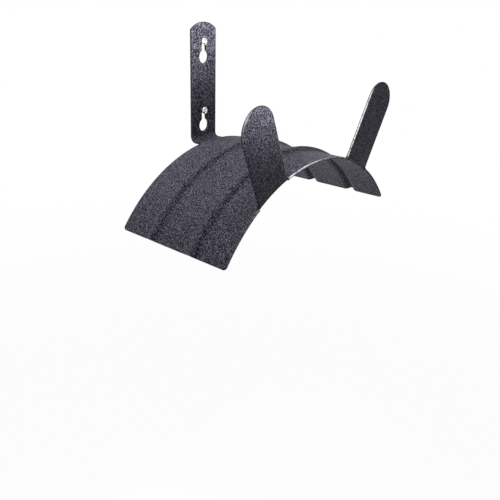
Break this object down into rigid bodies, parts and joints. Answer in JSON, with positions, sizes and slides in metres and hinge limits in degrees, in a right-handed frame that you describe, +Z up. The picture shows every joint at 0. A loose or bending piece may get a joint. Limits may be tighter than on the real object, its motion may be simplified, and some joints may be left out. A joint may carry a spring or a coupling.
{
  "type": "hose hanger",
  "caption": "Steel wall hanger for a coiled hose: a keyhole strap carries a ribbed arched saddle with round-ended ears turned up at its front edge.",
  "frame": {"origin": "on the wall plane, midway between the two screws", "axes": "+X along the wall to the right as seen from the room, +Y into the wall, +Z up"},
  "size_m": [0.2336, 0.152, 0.1644],
  "materials": {
    "strap_coat": "dark charcoal powder coat with a fine hammered grain",
    "saddle_coat": "dark charcoal powder coat with a fine hammered grain",
    "screw_zinc": "bright zinc plate"
  },
  "bodies": {
    "root": {"wall_strap": "strap_coat", "saddle": "saddle_coat", "wall_screws": "screw_zinc"}
  },
  "joints": []
}
